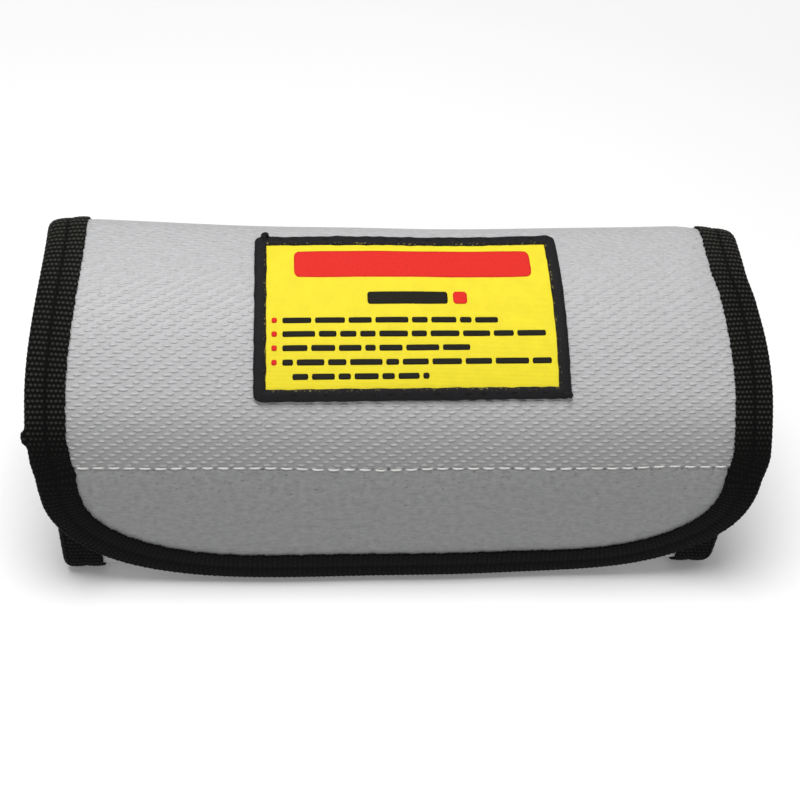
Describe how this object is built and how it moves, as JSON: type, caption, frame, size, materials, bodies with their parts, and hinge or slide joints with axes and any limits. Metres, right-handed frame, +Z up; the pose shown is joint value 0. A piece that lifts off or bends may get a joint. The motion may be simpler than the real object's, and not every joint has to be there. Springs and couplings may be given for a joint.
{
  "type": "battery charging bag",
  "caption": "Cloth charging bag for model batteries: lined trough with end panels, curved hinged lid, drop flap with hook and loop closure, taped edges and a label.",
  "frame": {"origin": "middle of the underside, on the surface that the bag stands on", "axes": "+X along the bag's length to the right as seen from the front, -Y towards the front with the label and flap, +Z up"},
  "size_m": [0.185, 0.0614, 0.0764],
  "materials": {
    "glass_cloth": "silver-grey coated glass cloth, raised satin weave with a soft sheen",
    "lining": "thin grey coated lining, fine plain weave",
    "binding_tape": "black woven binding tape, ribbed with a beaded weave",
    "label_weave": "yellow satin-woven label",
    "label_edge": "black overlocked thread edge",
    "black_ink": "matt black print sunk in the label's weave",
    "red_ink": "matt red print sunk in the label's weave",
    "white_thread": "white twisted sewing thread",
    "black_thread": "black twisted sewing thread",
    "loop_pile": "black soft loop pile",
    "hook_pile": "black hook tape"
  },
  "bodies": {
    "bag": {"outer_wrap": "glass_cloth", "lining_wrap": "lining", "mouth_binding": "binding_tape", "mouth_stitches": "black_thread", "loop_strip": "loop_pile", "loop_stitches": "black_thread", "end_panel_left": "glass_cloth", "lining_end_left": "lining", "end_binding_left": "binding_tape", "end_stitches_left": "black_thread", "rim_binding_left": "binding_tape", "end_panel_right": "glass_cloth", "lining_end_right": "lining", "end_binding_right": "binding_tape", "end_stitches_right": "black_thread", "rim_binding_right": "binding_tape"},
    "lid": {"lid_cloth": "glass_cloth", "lid_lining": "lining", "label_face": "label_weave", "label_border": "label_edge", "label_print_black": "black_ink", "label_print_red": "red_ink", "label_stitches": "black_thread", "lid_binding_left": "binding_tape", "lid_stitches_left": "black_thread", "lid_binding_right": "binding_tape", "lid_stitches_right": "black_thread"},
    "front_flap": {"flap_cloth": "glass_cloth", "flap_lining": "lining", "flap_binding": "binding_tape", "flap_binding_stitches": "black_thread", "hook_strip": "hook_pile", "closure_stitches": "white_thread"}
  },
  "joints": [
    {"name": "lid_hinge", "type": "hinge", "parent": "bag", "child": "lid", "pos_m": [0, 0.0304, 0.067], "axis": [-1, 0, 0], "range_deg": [0, 175]},
    {"name": "flap_fold", "type": "hinge", "parent": "lid", "child": "front_flap", "pos_m": [0, -0.01949, 0.05415], "axis": [-1, 0, 0], "range_deg": [0, 95]}
  ]
}
